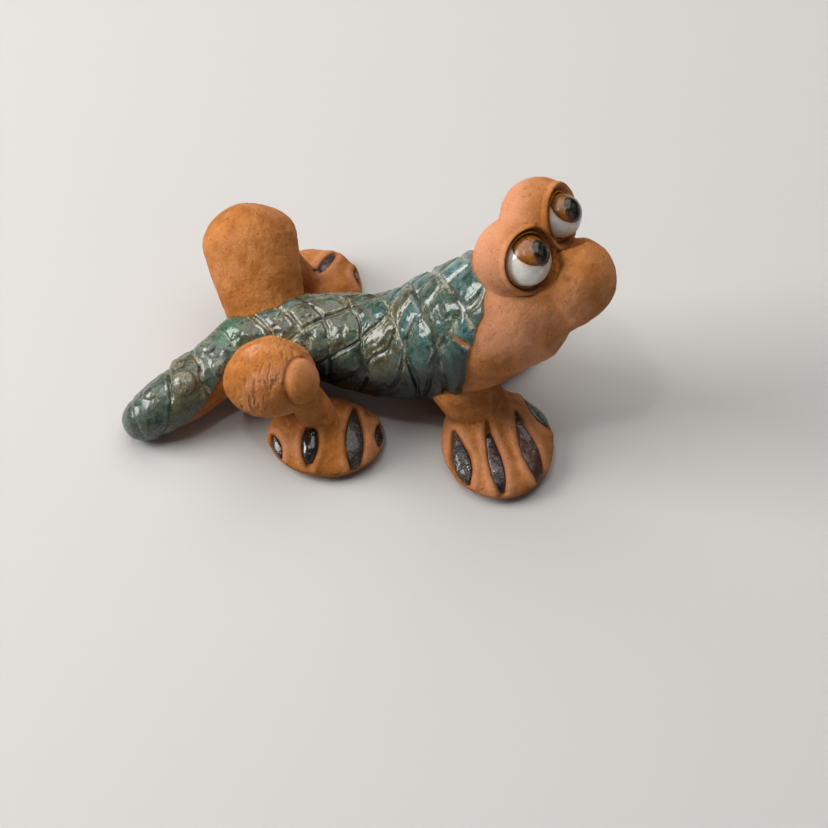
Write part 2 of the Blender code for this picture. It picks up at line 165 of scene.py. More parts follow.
def addObject(name, points, corners, sizes, paint, marks):
    mesh = bpy.data.meshes.new(name)
    mesh.vertices.add(len(points))
    mesh.vertices.foreach_set("co", ((points + shift) * mm).astype(np.float32).ravel())
    mesh.loops.add(len(corners))
    mesh.loops.foreach_set("vertex_index", corners.astype(np.int32))
    mesh.polygons.add(len(sizes))
    mesh.polygons.foreach_set("loop_start", np.concatenate([[0], np.cumsum(sizes)[:-1]]).astype(np.int32))
    mesh.polygons.foreach_set("loop_total", sizes.astype(np.int32))
    mesh.update(calc_edges=True)
    mesh.shade_smooth()
    for mark, values in marks.items():
        mesh.attributes.new(mark, "FLOAT", "POINT").data.foreach_set("value", values.astype(np.float32))
    mesh.materials.append(paint)
    piece = bpy.data.objects.new(name, mesh)
    bpy.context.scene.collection.objects.link(piece)
    return piece


def closedSkin(name, rings, paint, marks=None):
    # Quads between rings, and a fan from each end ring to the middle of that ring. The signed volume,
    # a third of each corner dotted with its face's area vector, says whether to turn the faces round.
    rows, sides = rings.shape[:2]
    points = np.vstack([rings.reshape(-1, 3), rings[0].mean(axis=0), rings[-1].mean(axis=0)])
    index = np.arange(rows * sides).reshape(rows, sides)
    beside = np.roll(index, -1, axis=1)
    quads = np.stack([index[:-1], beside[:-1], beside[1:], index[1:]], axis=-1).reshape(-1, 4)
    first = np.stack([np.full(sides, rows * sides), beside[0], index[0]], axis=-1)
    final = np.stack([np.full(sides, rows * sides + 1), index[-1], beside[-1]], axis=-1)
    a, b, c, d = (points[quads[:, k]] for k in range(4))
    if np.einsum("ij,ij->", a, np.cross(c - a, d - b)) < 0:
        quads, first, final = quads[:, ::-1], first[:, ::-1], final[:, ::-1]
    corners = np.concatenate([quads.ravel(), first.ravel(), final.ravel()])
    sizes = np.concatenate([np.full(len(quads), 4), np.full(2 * sides, 3)])
    marks = {
        mark: np.concatenate([values.ravel(), [values[0].mean()], [values[-1].mean()]])
        for mark, values in (marks or {}).items()
    }
    return addObject(name, points, corners, sizes, paint, marks)


def shellSkin(name, outer, inner, step, paint, marks):
    # A fine outer sheet and an inner sheet that has every step-th row and column of it.
    # Along the rim, each coarse edge and the fine edges over it share one face.
    rows, columns = outer.shape[:2]
    few, fewer = inner.shape[:2]
    top = np.arange(rows * columns).reshape(rows, columns)
    low = rows * columns + np.arange(few * fewer).reshape(few, fewer)

    def quadsOf(index):
        around = [index[:-1, :-1], index[:-1, 1:], index[1:, 1:], index[1:, :-1]]
        return np.stack(around, axis=-1).reshape(-1, 4)

    def rimOf(index):
        return np.concatenate([index[0, :-1], index[:-1, -1], index[-1, :0:-1], index[:0:-1, 0]])

    fine, coarse = rimOf(top), rimOf(low)
    follow = (np.arange(len(coarse))[:, None] * step + np.arange(step, -1, -1)) % len(fine)
    rim = np.concatenate([fine[follow], coarse[:, None], np.roll(coarse, -1)[:, None]], axis=1)
    quads = np.vstack([quadsOf(top), quadsOf(low)[:, ::-1]])
    points = np.vstack([outer.reshape(-1, 3), inner.reshape(-1, 3)])
    a, b, c, d = (points[quads[:, k]] for k in range(4))
    if np.einsum("ij,ij->", a, np.cross(c - a, d - b)) < 0:
        quads, rim = quads[:, ::-1], rim[:, ::-1]
    corners = np.concatenate([quads.ravel(), rim.ravel()])
    sizes = np.concatenate([np.full(len(quads), 4), np.full(len(rim), step + 3)])
    marks = {
        mark: np.concatenate([values.ravel(), values[::step, ::step].ravel()])
        for mark, values in marks.items()
    }
    return addObject(name, points, corners, sizes, paint, marks)


def fit(piece, node):
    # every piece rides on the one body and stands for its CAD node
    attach(piece, "root")
    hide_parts(node)


# materials


class Wire:
    # one output of a node; arithmetic on it adds Math nodes
    def __init__(self, paint, socket):
        self.paint = paint
        self.socket = socket

    def maths(self, operation, *terms):
        return self.paint.add("ShaderNodeMath", {"operation": operation}, dict(enumerate(terms)))

    def __add__(self, other):
        return self.maths("ADD", self, other)

    def __radd__(self, other):
        return self.maths("ADD", other, self)

    def __sub__(self, other):
        return self.maths("SUBTRACT", self, other)

    def __rsub__(self, other):
        return self.maths("SUBTRACT", other, self)

    def __mul__(self, other):
        return self.maths("MULTIPLY", self, other)

    def __rmul__(self, other):
        return self.maths("MULTIPLY", other, self)


class Paint:
    # a material with one Principled shader
    def __init__(self, name):
        self.material = bpy.data.materials.new(name)
        self.material.use_nodes = True
        self.tree = self.material.node_tree
        self.shader = self.tree.nodes["Principled BSDF"]
        texture = self.add("ShaderNodeTexCoord", {}, {}, "Object")
        self.place = self.add("ShaderNodeVectorMath", {"operation": "SCALE"}, {0: texture, "Scale": 1 / mm})

    def add(self, kind, settings, sockets, output=0):
        # any node: its settings first, then the values or links of its sockets
        node = self.tree.nodes.new(kind)
        for setting, value in settings.items():
            setattr(node, setting, value)
        for socket, value in sockets.items():
            if isinstance(value, Wire):
                self.tree.links.new(value.socket, node.inputs[socket])
            else:
                node.inputs[socket].default_value = value
        return Wire(self, node.outputs[output])

    def noise(self, size, detail=2.0, roughness=0.5, vector=None):
        # noise from 0 to 1 whose lumps are about size millimetres
        sockets = {"Scale": 1 / size, "Detail": detail, "Roughness": roughness}
        return self.add("ShaderNodeTexNoise", {}, {"Vector": vector or self.place, **sockets})

    def mark(self, name):
        return self.add("ShaderNodeAttribute", {"attribute_name": name}, {}, "Fac")

    def between(self, value, low, high):
        # 0 below low, 1 above high, smooth between
        sockets = {"Value": value, "From Min": low, "From Max": high}
        return self.add("ShaderNodeMapRange", {"interpolation_type": "SMOOTHSTEP"}, sockets)

    def mix(self, share, low, high):
        low, high = (tone if isinstance(tone, Wire) else (*tone, 1) for tone in (low, high))
        return self.add("ShaderNodeMix", {"data_type": "RGBA"}, {0: share, 6: low, 7: high}, 2)

    def bump(self, height, depth, strength=1.0):
        # depth is how far a height of 1 stands out, in millimetres
        sockets = {"Height": height, "Distance": depth * mm, "Strength": strength}
        return self.add("ShaderNodeBump", {}, sockets)

    def finish(self, **links):
        for socket, value in links.items():
            self.tree.links.new(value.socket, self.shader.inputs[socket.replace("_", " ")])
        return self.material


clayTones = {
    "orange": (0.46, 0.176, 0.048),
    "pink": (0.56, 0.255, 0.140),
    "brown": (0.31, 0.100, 0.014),
    "pitAndShade": (0.12, 0.035, 0.008),
    "dust": (0.72, 0.40, 0.22),
    "grainDepth": 0.15,
}


def clayPaint(name, pinkness=0.5, brownness=0.5):
    # Fired clay: broad patches of three tones, sandy grain, short scratches, dark pits and pale dust.
    # The marks a piece carries add pinker places, partly painted light on lit sides, and painted shade in
    # creases.
    tones = clayTones
    paint = Paint(name)
    paint.shader.inputs["Specular IOR Level"].default_value = 0.25
    broad = paint.noise(5.0, 3)
    patch = paint.noise(1.5, 4, 0.65)
    sand = paint.noise(0.30, 2, 0.6)
    grain = paint.noise(0.13, 3, 0.7)
    stretch = {0: paint.place, "Scale": (2.6, 1.0, 0.8)}
    stretched = paint.add("ShaderNodeMapping", {"vector_type": "POINT"}, stretch)
    scratch = paint.between(paint.noise(0.7, 4, 0.6, stretched), 0.62, 0.72)
    pits = paint.between(paint.noise(0.36, 2, 0.5), 0.66, 0.74)
    blend = broad * 0.55 + patch * 0.45
    tone = paint.mix(paint.between(blend, 0.34 + 0.12 * brownness, 0.62), tones["brown"], tones["orange"])
    # pinker patches, partly at random and partly painted light where a piece marks its lit sides
    pinkShare = paint.between(paint.noise(6.5, 2) + paint.mark("pinkAndLit") * 0.35, 0.66 - 0.3 * pinkness, 0.9)
    tone = paint.mix(pinkShare * (0.35 + 0.5 * pinkness), tone, tones["pink"])
    tone = paint.mix(paint.between(sand, 0.58, 0.76) * 0.30, tone, tones["dust"])
    tone = paint.mix(paint.between(grain, 0.50, 0.32) * 0.35, tone, tones["brown"])
    tone = paint.mix(scratch * 0.30, tone, tones["pitAndShade"])
    tone = paint.mix(pits * 0.50, tone, tones["pitAndShade"])
    # painted shade in creases, dents and folds
    tone = paint.mix(paint.mark("creaseShade") * 0.8, tone, tones["pitAndShade"])
    height = grain * 0.55 + sand * 0.6 + patch * 0.5 - pits * 0.5 - scratch * 0.35
    return paint.finish(
        Base_Color=tone, Roughness=grain * 0.16 + 0.76, Normal=paint.bump(height, tones["grainDepth"], 0.8)
    )


glazeTones = {
    "tail": (0.080, 0.105, 0.080),
    "olive": (0.085, 0.080, 0.040),
    "teal": (0.035, 0.090, 0.076),
    "blue": (0.090, 0.185, 0.185),
    "dark": (0.003, 0.009, 0.007),
    "thinAndHighlight": (0.42, 0.36, 0.25),
    "bare": (0.30, 0.13, 0.06),
    "green": (0.022, 0.150, 0.080),
}


def backGlazePaint():
    # Runny teal glaze: grey-green on the tail, olive on the back and blue towards the neck, a new
    # shade on each plate, near black where it pools, near black low on the sides as painted shade over a
    # darker glaze, pale where it runs thin, and pale on the tail's lumps as a painted highlight.
    tones = glazeTones
    paint = Paint("teal glaze")
    paint.shader.inputs["Specular IOR Level"].default_value = 0.4
    paint.shader.inputs["Coat Roughness"].default_value = 0.07
    hue, plate, low = paint.mark("hue"), paint.mark("plate"), paint.mark("low")
    cloud = paint.noise(1.0, 5, 0.65)
    patch = paint.noise(1.9, 3, 0.6)
    speck = paint.noise(0.22, 3, 0.65)
    drift = hue + (cloud - 0.5) * 0.7 + (plate - 0.5) * 0.45
    tone = paint.mix(paint.between(drift, 0.10, 0.36), tones["tail"], tones["olive"])
    tone = paint.mix(paint.between(drift, 0.40, 0.66), tone, tones["teal"])
    tone = paint.mix(paint.between(drift, 0.70, 1.05), tone, tones["blue"])
    tone = paint.mix(paint.between(patch, 0.54, 0.68) * 0.55, tone, tones["tail"])
    tone = paint.mix(paint.between(patch, 0.44, 0.32) * 0.55, tone, tones["olive"])
    tone = paint.mix(paint.between(cloud, 0.55, 0.36) * 0.6, tone, tones["dark"])
    tone = paint.mix(paint.mark("green") * paint.between(cloud, 0.3, 0.6), tone, tones["green"])
    tone = paint.mix(paint.between(speck, 0.55, 0.35) * 0.35, tone, tones["dark"])
    tone = paint.mix(paint.between(speck, 0.62, 0.82) * 0.22, tone, tones["thinAndHighlight"])
    tone = paint.mix(paint.mark("deep") * paint.between(cloud, 0.25, 0.6), tone, tones["dark"])
    # pale where the glaze runs thin on lips and cuts, and on the tail's lumps as a painted highlight
    tone = paint.mix(paint.mark("ridge") * paint.between(speck + cloud, 0.85, 1.2) * 0.8, tone, tones["thinAndHighlight"])
    # near black low on the sides: painted shade over a darker glaze
    tone = paint.mix(low, tone, tones["dark"])
    tone = paint.mix(paint.mark("rim"), tone, tones["bare"])
    ripple = paint.noise(0.8, 2) * 0.8 + speck * 0.12
    roughness = paint.mark("rim") * 0.3 + low * 0.12 + speck * 0.16 + 0.16
    coat = 0.3 - low * 0.28
    return paint.finish(
        Base_Color=tone, Roughness=roughness, Coat_Weight=coat, Normal=paint.bump(ripple, 0.2, 0.7)
    )


def glossPaint(name, deep, light, size, share, roughness=0.1, ripple=0.05):
    # a glossy glaze of two tones in clouds of the given size; share is how much of the light one
    paint = Paint(name)
    paint.shader.inputs["Coat Weight"].default_value = 0.4
    paint.shader.inputs["Coat Roughness"].default_value = 0.03
    cloud = paint.noise(size, 4, 0.6)
    tone = paint.mix(paint.between(cloud, 0.72 - share * 0.5, 0.86 - share * 0.5), deep, light)
    speck = paint.noise(size * 0.25, 2)
    return paint.finish(
        Base_Color=paint.mix(paint.between(speck, 0.3, 0.7) * 0.25, tone, deep),
        Roughness=speck * 0.1 + roughness,
        Normal=paint.bump(cloud + speck * 0.3, ripple, 0.7),
    )


def eyeWhitePaint():
    # milky glaze, pinkish where it thins out beside the iris
    paint = Paint("white glaze")
    paint.shader.inputs["Coat Weight"].default_value = 0.8
    paint.shader.inputs["Coat Roughness"].default_value = 0.03
    cloud = paint.noise(1.1, 3)
    tone = paint.mix(paint.between(cloud, 0.3, 0.7), (0.62, 0.60, 0.54), (0.80, 0.78, 0.73))
    tone = paint.mix(paint.mark("blush"), tone, (0.66, 0.30, 0.20))
    return paint.finish(Base_Color=tone, Roughness=cloud * 0.1 + 0.12, Normal=paint.bump(cloud, 0.05, 0.5))


def irisPaint():
    # amber glaze with darker streaks, browner towards its rim
    paint = Paint("amber glaze")
    paint.shader.inputs["Coat Weight"].default_value = 0.12
    paint.shader.inputs["Coat Roughness"].default_value = 0.1
    streak = paint.noise(0.5, 4, 0.65)
    tone = paint.mix(paint.between(streak, 0.35, 0.7), (0.16, 0.050, 0.005), (0.31, 0.115, 0.014))
    tone = paint.mix(paint.mark("rim") * 0.7, tone, (0.12, 0.035, 0.008))
    return paint.finish(Base_Color=tone, Roughness=streak * 0.1 + 0.24, Normal=paint.bump(streak, 0.06, 0.6))


def pupilPaint():
    # black glaze that is a little green in the middle and brown round its lower rim
    paint = Paint("black glaze")
    paint.shader.inputs["Coat Weight"].default_value = 0.15
    paint.shader.inputs["Coat Roughness"].default_value = 0.05
    paint.shader.inputs["Specular IOR Level"].default_value = 0.3
    cloud = paint.noise(0.6, 3)
    share = paint.between(cloud, 0.4, 0.7) * (1 - paint.mark("rim"))
    tone = paint.mix(share, (0.010, 0.008, 0.007), (0.035, 0.045, 0.034))
    tone = paint.mix(paint.mark("rim"), tone, (0.15, 0.048, 0.012))
    return paint.finish(Base_Color=tone, Roughness=cloud * 0.08 + 0.06, Normal=paint.bump(cloud, 0.03, 0.5))


# the body: one roll of clay from the tail's tip to the snout

bodyValues = {
    "runs": [  # length of each run, then its bends: share of that length, turn and climb in degrees
        (16.6, [(0.155, 21, 20), (0.25, 31, 13), (0.255, 36, 10), (0.34, 34, 11)]),
        (19.5, [(0.36, 0, 8), (0.37, -11, 5), (0.27, -5, 21)]),
        (11.3, [(0.5, -10, 39), (0.5, -7, 47)]),
        (9.2, [(0.52, 0, 45), (0.48, -17, 36)]),
    ],
    "radii": [2.12, 2.5, 3.05, 3.25, 4.0, 4.75, 5.5, 6.4, 7.0, 6.79, 6.35, 4.5],
    "flattening": [0, 0, 0, 0, 0, 0, 0, 0, 0.033, 0.066, 0.066, 0.022],
    "tipHeight": 1.7,
    "tipInset": 1.5,
    "rows": 384,
    "sides": 252,
}


def bodyRows():
    points = [np.array([0.0, 0.0, bodyValues["tipHeight"]])]
    for length, bends in bodyValues["runs"]:
        for share, turn, climb in bends:
            points.append(points[-1] + share * length * headingVector(turn, climb))
    radii, flat = np.array(bodyValues["radii"]), np.array(bodyValues["flattening"])
    points[0] = points[0] + bodyValues["tipInset"] * unit(points[1] - points[0])
    return np.column_stack([points, radii * (1 + flat), radii * (1 - flat)])


body = bodyRows()
snout = len(body) - 1
fineStations = np.linspace(-1, snout + 1, 1301)
fineCentres, fineWidths = rollFrame(body, fineStations)[:2]
fineArc = np.concatenate([[0], np.cumsum(np.linalg.norm(np.diff(fineCentres, axis=0), axis=1))])
fineArc -= np.interp(0, fineStations, fineArc)


def arcAt(stations):
    # millimetres along the body from the tail's tip
    return np.interp(stations, fineStations, fineArc)


def bodyPlace():
    # the plain roll's snout and middle are laid on the CAD roll's, and the ground stays where it is
    stations, angles = rollGrid(body, 200, 90)
    points = rollSkin(body, stations, angles)[0].reshape(-1, 3)
    low, high = (np.array(corner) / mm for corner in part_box("body_roll"))
    middle = (low + high) / 2 - (points.min(axis=0) + points.max(axis=0)) / 2
    return np.array([high[0] - points[:, 0].max(), middle[1], 0])


shift = bodyPlace()


def bodyDistance(points):
    # how far points are outside the plain roll: the least distance to its middle, less its radius there
    spots = np.linspace(0, snout, 90)
    centres, widths, heights = rollFrame(body, spots)[:3]
    radii = (widths + heights) / 2
    flat = points.reshape(-1, 3)
    nearest = np.full(len(flat), 1e9)
    for centre, radius in zip(centres, radii):
        nearest = np.minimum(nearest, np.linalg.norm(flat - centre, axis=1) - radius)
    return nearest.reshape(points.shape[:-1])


def fillet(distance, width):
    # how far a blend of that width lifts a surface at a distance from the other one: a quarter of the
    # width times the square of what is left of it
    return width / 4 * (1 - np.clip(distance / width, 0, 1)) ** 2


# the eyes' places

eyeValues = {
    "station": 10.42, "lift": 0.9, "shift": 1.1, "spacing": 5.1, "pairTurn": 57, "pairClimb": 17,
    "moundRadius": 4.05, "ballRadius": {"right": 2.64, "left": 2.30}, "ballReach": 1.98,
    "ballShift": {"right": (0.06, -0.14, -0.10), "left": (0.44, 0.0, 0.0)},
    "gazes": {"right": (0.6, -0.6, 0.53), "left": (0.87, -0.3, 0.4)},
    "irisAxes": {"right": (0.27, 0.06, 0.95), "left": (0.42, 0.0, 0.90)},
    "pupilAxes": {"right": (0.57, -0.17, 0.81), "left": (0.56, -0.22, 0.81)},
    "irisAngle": {"right": 50, "left": 52}, "irisThickness": 0.10,
    "pupilHalfWidth": 1.12, "pupilHalfLength": 1.50, "pupilHeight": 0.28,
    "seam": 0.8, "clearing": 4.0,
}


def ballPlace(side):
    gaze = unit(np.array(eyeValues["gazes"][side]))
    return mounds[side] + gaze * eyeValues["ballReach"] + np.array(eyeValues["ballShift"][side])


def clearing(points, side):
    # how deep to press in points near an eyeball, so that its clay ring stands clear
    inside = eyeValues["clearing"] - np.linalg.norm(points - ballPlace(side), axis=-1)
    return 1.1 * smoothStep(0, 1.2, inside)


def moundPlaces():
    # side by side over the head: half the spacing either way from a point above it
    centre, _, height, left, up, _, _ = rollFrame(body, np.array(eyeValues["station"]))
    middle = centre + up * (height + eyeValues["lift"]) + left * eyeValues["shift"]
    pair = headingVector(eyeValues["pairTurn"], eyeValues["pairClimb"]) * eyeValues["spacing"] / 2
    return {"right": middle - pair, "left": middle + pair}


mounds = moundPlaces()


# the carved back

carvingValues = {
    # where the curved cuts and the diagonal cuts cross the top, in millimetres from the tail's tip
    "curvedCuts": [4.2, 8.4, 12.4, 16.2, 19.4, 22.3, 26.4, 32.8, 38.2, 43.7, 49.5],
    "diagonalCuts": [18.6, 24.8, 32.2, 38.0, 43.7, 51.6],
    "bend": 0.07,
    "diagonalSlope": 1.55,
    "cutDepth": 0.34,
    "cutWidth": 0.17,
    "crown": 0.20,
    "lip": 0.12,
    # round lumps on the tail: millimetres along, millimetres round from the top, radius and height
    "lumps": [
        (5.7, -0.7, 1.25, 0.42), (9.8, -1.9, 1.1, 0.36), (6.2, 1.9, 1.0, 0.3), (10.3, 1.2, 1.1, 0.3),
        (2.2, 0.6, 0.8, 0.2),
    ],
    "tipFill": (0.1, 0.6, 0.14),  # where glaze fills in behind the tip's round end, how wide and how high
}


def carving(stations, angles):
    # Each cut is a line where millimetres along, less a slope times millimetres round, is constant.
    # Height is a crown over each plate, a lip beside the cut and a notch along it.
    values = carvingValues
    along = arcAt(stations)
    around = angles * np.interp(stations, fineStations, fineWidths)
    flat = np.stack([along, around, np.zeros_like(along)], axis=-1)
    calm = smoothStep(27, 36, along)
    wobble = lumps(flat, 3.2, 3, 3) * (1 - 0.55 * calm)
    slope = np.interp(along, [0, 9, 18, 50], [0.6, 0.25, -0.75, -0.8])
    curved = along - slope * around + values["bend"] * around**2 * smoothStep(10, 20, along) + 0.62 * wobble
    diagonal = along - values["diagonalSlope"] * around + 0.95 * (1 - 0.55 * calm) * lumps(flat, 3.4, 11, 3)
    steep = slope - 2 * values["bend"] * around
    offA = np.abs(curved[..., None] - np.array(values["curvedCuts"]))
    offB = np.abs(diagonal[..., None] - np.array(values["diagonalCuts"]))
    apartA = offA.min(axis=-1) / np.sqrt(1 + steep**2)
    apartB = offB.min(axis=-1) / np.sqrt(1 + values["diagonalSlope"] ** 2)
    apartB = apartB + 4 * (1 - smoothStep(14, 19, along))
    cell = np.stack(
        [
            np.searchsorted(values["curvedCuts"], curved),
            np.searchsorted(values["diagonalCuts"], diagonal),
            np.zeros(along.shape, int),
        ],
        axis=-1,
    )
    plate = latticeValue(cell, 5) * 0.5 + 0.5
    apart = np.minimum(apartA, apartB)
    boldness = 0.5 + 0.5 * lumps(flat, 2.2, 23)
    cutWidth = values["cutWidth"] * (1 + 0.7 * calm)
    notch = np.maximum(hump(apartA, cutWidth), hump(apartB, cutWidth) * 0.8)
    lip = hump(apart - 0.2 - cutWidth, 0.12) * smoothStep(0.35, 0.85, boldness)
    crown = smoothStep(0.1, 1.5, apart) * (0.7 + 0.6 * plate)
    height = values["crown"] * crown + values["lip"] * lip
    height = height - values["cutDepth"] * notch * (0.25 + 0.75 * boldness)
    height = height + 0.09 * (1 - 0.5 * calm) * lumps(flat, 1.1, 31, 3)
    bumps = np.zeros_like(along)
    for spot, across, radius, rise in values["lumps"]:
        away = np.hypot(along - spot, around - across)
        bumps = np.maximum(bumps, rise * np.sqrt(np.clip(1 - (away / radius) ** 2, 0, 1)))
    height = (height + bumps) * smoothStep(-1.0, 1.2, stations)
    filled, spread, rise = values["tipFill"]
    height = height + rise * hump(along - filled, spread)
    pale = smoothStep(-0.25, 0.25, lumps(flat, 2.4, 37, 2) + 0.3 * calm)
    # the second value also takes in the tail's lumps, where pale glaze stands as a painted highlight
    return height, np.maximum(lip + bumps * 1.2, notch * pale), notch * (1 - pale), plate


glazeValues = {
    "thickness": 0.15,
    # degrees from the top where the glaze ends, by station, on the near and on the far side
    "near": (
        [-1, 0.6, 1.55, 2.5, 3.0, 3.35, 4.3, 4.8, 5.3, 6.0, 6.6, 7.2],
        [163, 140, 105, 64, 46, 30, 34, 80, 114, 120, 128, 132],
    ),
    "far": ([-1, 0.6, 1.6, 2.6, 3.2, 4.2, 5.0, 6.0, 7.2], [163, 140, 105, 75, 52, 44, 66, 96, 120]),
    # station of the front edge by degrees from the top, the near side first
    "front": (
        [-130, -112, -90, -72, -57, -40, -18, -6, 18, 40, 60, 90, 130],
        [7.5, 7.7, 8.12, 8.5, 8.88, 9.18, 9.5, 9.42, 9.15, 8.9, 8.6, 8.1, 7.5],
    ),
    "chip": (44.1, -7.1, 0.19, 0.78, 26),  # along, round, half width, half length, slant in degrees
    "greenPatch": (12.9, 0.7, 1.5),  # along, round, radius
    "rows": 400,
    "columns": 232,
    "step": 8,
}


def glazeReach(stations, angles):
    near = np.interp(stations, *glazeValues["near"])
    far = np.interp(stations, *glazeValues["far"])
    return np.radians(np.where(angles < 0, near, far))


def glazeEdge(stations, angles):
    # millimetres inside the glaze's edge: the lesser of what is left sideways and forwards, made
    # ragged by two sizes of lump; the chip is a hole cut out of it
    radius = np.interp(stations, fineStations, fineWidths)
    along, around = arcAt(stations), angles * radius
    sideways = (glazeReach(stations, angles) - np.abs(angles)) * np.maximum(radius, 1)
    front = arcAt(np.interp(np.degrees(angles), *glazeValues["front"])) - along
    flat = np.stack([along, around, np.full_like(along, 4.0)], axis=-1)
    edge = np.minimum(sideways, front) + 0.2 * lumps(flat, 1.7, 41, 3)
    spot, across, halfWidth, halfLength, slant = glazeValues["chip"]
    slant = radians(slant)
    x, y = along - spot, around - across
    u, v = x * np.cos(slant) + y * np.sin(slant), y * np.cos(slant) - x * np.sin(slant)
    hole = (np.hypot(u / halfWidth, v / halfLength) - 1) * halfWidth
    return np.minimum(edge, hole)


def clayHeight(points, seed=0):
    # finger marks, small lumps and a few shallow dents in modelled clay
    height = 0.11 * lumps(points, 4.2, 51 + seed) + 0.05 * lumps(points, 1.5, 61 + seed, 2)
    height = height + 0.022 * lumps(points, 0.5, 71 + seed, 2)
    return height - 0.05 * smoothStep(0.5, 0.8, lumps(points, 0.9, 81 + seed))


jawValues = {
    # a soft ridge: degrees from the top, half width in radians, height, and the stations of its ends
    "turn": -118, "spread": 0.26, "ridge": 0.5, "start": 8.6, "full": 9.8, "fade": 11.0, "end": 11.8,
    # dents on the snout: station, degrees from the top, radius and depth
    "dents": [
        (11.2, -22, 0.42, 0.16), (11.3, -44, 0.3, 0.12), (10.9, -62, 0.36, 0.12), (10.75, 14, 0.5, 0.3),
    ],
}


def bodySkin(stations, angles, lift=0.0):
    # the finished body: the roll, the carving where it is glazed, finger marks where it isn't, the
    # jaw's soft ridge, and a fillet up to the eye mounds
    points, outward = rollSkin(body, stations, angles)
    edge = glazeEdge(stations, angles)
    glazed = smoothStep(-0.5, 0.6, edge)
    carved, ridge, notch, plate = carving(stations, angles)
    height = carved * smoothStep(-0.3, 1.0, edge) + clayHeight(points) * (1 - 0.5 * glazed)
    turned = (angles + pi) % (2 * pi) - pi
    jaw = hump(turned - radians(jawValues["turn"]), jawValues["spread"])
    jaw = jaw * smoothStep(jawValues["start"], jawValues["full"], stations)
    jaw = jaw * smoothStep(jawValues["end"], jawValues["fade"], stations)
    height = height + jawValues["ridge"] * jaw
    # each dent also gets painted shade
    creaseShade = np.zeros_like(height)
    for station, degrees, radius, depth in jawValues["dents"]:
        spot = rollSkin(body, np.array(station), np.array(radians(degrees)))[0]
        dent = hump(np.linalg.norm(points - spot, axis=-1), radius)
        height = height - depth * dent
        creaseShade = np.maximum(creaseShade, 0.5 * dent)
    for place in mounds.values():
        away = np.linalg.norm(points - place, axis=-1) - eyeValues["moundRadius"]
        height = height + fillet(np.maximum(away, 0), eyeValues["seam"])
    height = height - clearing(points, "right") - clearing(points, "left")
    return points + outward * (height + lift)[..., None], edge, ridge, notch, plate, creaseShade


def buildBody(paint):
    stations, angles = rollGrid(body, bodyValues["rows"], bodyValues["sides"])
    turned = (angles + pi) % (2 * pi) - pi
    edge = glazeEdge(stations, turned)
    sunk = -0.14 * smoothStep(0.35, 0.9, edge)
    points, edge, _, _, _, creaseShade = bodySkin(stations, turned, sunk)
    # painted shade along the glaze's edge and in the dents, and a pinker band round the neck as painted light
    neck = hump(edge + 0.1, 0.35)
    marks = {"pinkAndLit": hump(stations - 9.6, 0.9), "creaseShade": np.maximum(creaseShade, 0.35 * neck)}
    fit(closedSkin("bodyRoll", points, paint, marks), "body_roll")


def buildBackGlaze(paint):
    # rows run from the tip to a little past the front edge, and columns to a little past the sides
    values = glazeValues
    rows, columns, step = values["rows"] + 1, values["columns"] + 1, values["step"]
    share = np.linspace(-1, 1, columns)
    front = arcAt(np.interp(share * 130, *values["front"])) + 0.7
    begin = arcAt(np.array(-0.95))
    along = begin + np.linspace(0, 1, rows)[:, None] * (front - begin)
    stations = np.interp(along, fineArc, fineStations)
    margin = 0.7 / np.maximum(np.interp(stations, fineStations, fineWidths), 1.5)
    reach = glazeReach(stations, np.broadcast_to(share, stations.shape)) + margin
    angles = share * np.minimum(reach, radians(176))
    edge = glazeEdge(stations, angles)
    covered = smoothStep(-0.2, 0.2, edge)
    lift = values["thickness"] * (2 * covered - 1) - 0.2 * smoothStep(-0.2, -0.6, edge)
    outer, edge, ridge, notch, plate, _ = bodySkin(stations, angles, lift)
    coarse = (slice(None, None, step), slice(None, None, step))
    inner = bodySkin(stations[coarse], angles[coarse], np.full(stations[coarse].shape, -0.75))[0]
    lowness = np.abs(np.degrees(angles)) + 9 * lumps(outer, 2.5, 19, 2)
    spot, across, radius = values["greenPatch"]
    around = angles * np.interp(stations, fineStations, fineWidths)
    marks = {
        "hue": np.interp(along, [0, 10, 16, 26, 32, 40, 50], [0.05, 0.12, 0.35, 0.33, 0.55, 0.72, 0.80]),
        "plate": plate,
        # also paints the tail's lumps pale as a painted highlight
        "ridge": np.clip(ridge, 0, 1),
        "deep": np.clip(notch, 0, 1) * 0.85,
        # painted shade low on the sides, over a darker glaze
        "low": smoothStep(42, 84, lowness) * (0.35 + 0.65 * smoothStep(12, 20, along)),
        "rim": hump(edge, 0.16) * 0.8,
        "green": hump(np.hypot(along - spot, around - across), radius) * 0.9,
    }
    fit(shellSkin("backGlaze", outer, inner, step, paint, marks), "back_glaze")


# the eyes


def moundProfile(side):
    # half of a slice through a mound, as radius and height along the gaze: the back of the ball of
    # clay, a raised lip that reaches further in round a smaller eyeball, and the round bowl it sits in
    radius, reach = eyeValues["moundRadius"], eyeValues["ballReach"]
    bowl = eyeValues["ballRadius"][side] + 0.06
    less = eyeValues["ballRadius"]["right"] - eyeValues["ballRadius"][side]
    back = np.radians(np.linspace(178, 60, 120))
    inside = np.radians(np.linspace(88, 178, 40))
    lipPoints = [
        (radius * np.sin(back[-1]), radius * np.cos(back[-1])),
        (3.50, 2.42), (3.44, 2.64), (3.33, 2.72), (3.20 - less / 2, 2.60), (3.09 - less, 2.25),
        (3.01 - less, 2.15), (2.95 - less, 2.38), (2.86 - less, 2.52), (2.76 - less, 2.46),
        (bowl * np.sin(inside[0]), reach + bowl * np.cos(inside[0])),
    ]
    lip = curveThrough(lipPoints, np.linspace(0, len(lipPoints) - 1, 46))
    outside = np.column_stack([radius * np.sin(back), radius * np.cos(back)])
    hollow = np.column_stack([bowl * np.sin(inside), reach + bowl * np.cos(inside)])
    free = np.concatenate([np.ones(len(outside)), np.linspace(1, 0, len(lip) - 2), np.zeros(len(hollow))])
    return np.vstack([outside, lip[1:-1], hollow]), free


